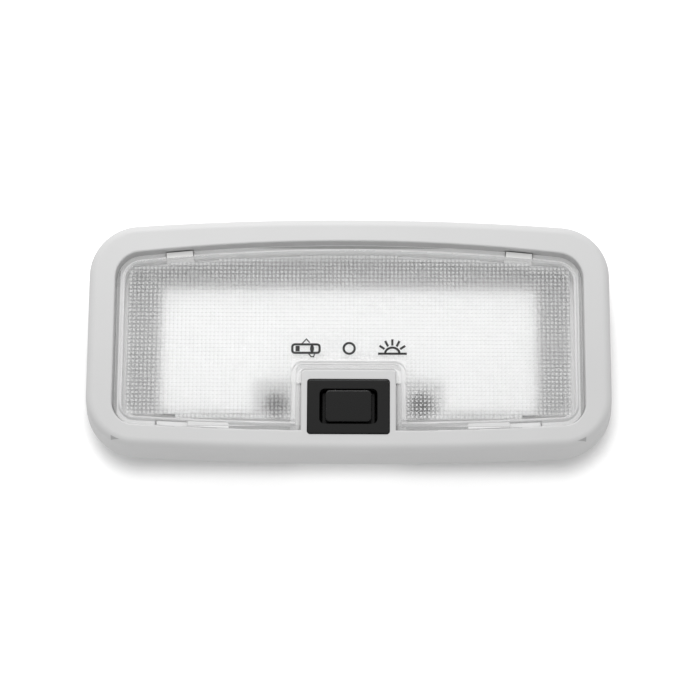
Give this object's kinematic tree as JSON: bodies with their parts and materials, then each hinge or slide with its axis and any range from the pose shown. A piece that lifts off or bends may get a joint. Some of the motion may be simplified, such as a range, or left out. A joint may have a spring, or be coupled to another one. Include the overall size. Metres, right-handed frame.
{
  "type": "interior reading light",
  "caption": "Rectangular interior reading light with a rounded grey frame, arched clear stippled lens, opal cover, bulb and a black rocker switch in an island at the lower edge.",
  "frame": {"origin": "centre of the bounding box at the back of the housing, which the lamp lies on", "axes": "+Z out through the lens, +X to the right and +Y up as seen from the front"},
  "size_m": [0.14, 0.0652, 0.0258],
  "materials": {
    "bezel": "light grey, finely grained",
    "lens": "clear, stippled on its back",
    "opal_cover": "opal white",
    "housing": "white, moulded",
    "reflector": "bright sheet",
    "screws": "black zinc",
    "spring_steel": "plain spring steel",
    "switch_black": "black, satin",
    "rocker_black": "black, satin",
    "plunger": "natural nylon",
    "switch_base": "brown",
    "contact_brass": "stamped sheet",
    "bulb_glass": "clear",
    "bulb_metal": "nickel plated",
    "filament": "tungsten wire"
  },
  "bodies": {
    "lamp": {"bezel": "bezel", "lens": "lens", "opal_cover": "opal_cover", "housing": "housing", "reflector": "reflector", "housing_screws": "screws", "panel_spring": "spring_steel", "switch_frame": "switch_black", "switch_base": "switch_base", "terminal_door": "contact_brass", "terminal_common": "contact_brass", "terminal_on": "contact_brass", "feed_contact": "contact_brass", "lamp_contact": "contact_brass", "door_contact": "contact_brass", "earth_contact": "contact_brass", "bulb_glass": "bulb_glass", "bulb_cap_left": "bulb_metal", "bulb_cap_right": "bulb_metal", "bulb_filament": "filament"},
    "rocker": {"rocker": "rocker_black", "plunger_spring": "spring_steel"},
    "plunger": {"plunger": "plunger"},
    "seesaw": {"seesaw_contact": "contact_brass"}
  },
  "joints": [
    {"name": "rocker_tilt", "type": "hinge", "parent": "lamp", "child": "rocker", "pos_m": [0, -0.01966, 0.0196], "axis": [0, 1, 0], "range_deg": [-9, 9]},
    {"name": "plunger_slide", "type": "slide", "parent": "rocker", "child": "plunger", "axis": [0, 0, 1], "range_m": [0, 0.0008], "stiffness_N_per_m": 300, "springref_m": -0.001, "deforming": ["plunger_spring"]},
    {"name": "contact_tilt", "type": "hinge", "parent": "lamp", "child": "seesaw", "pos_m": [0, -0.01966, 0.0127], "axis": [0, 1, 0], "range_deg": [-6, 6]}
  ],
  "couplings": [
    {"joint": "contact_tilt", "follows": "rocker_tilt", "ratio": -0.66}
  ]
}
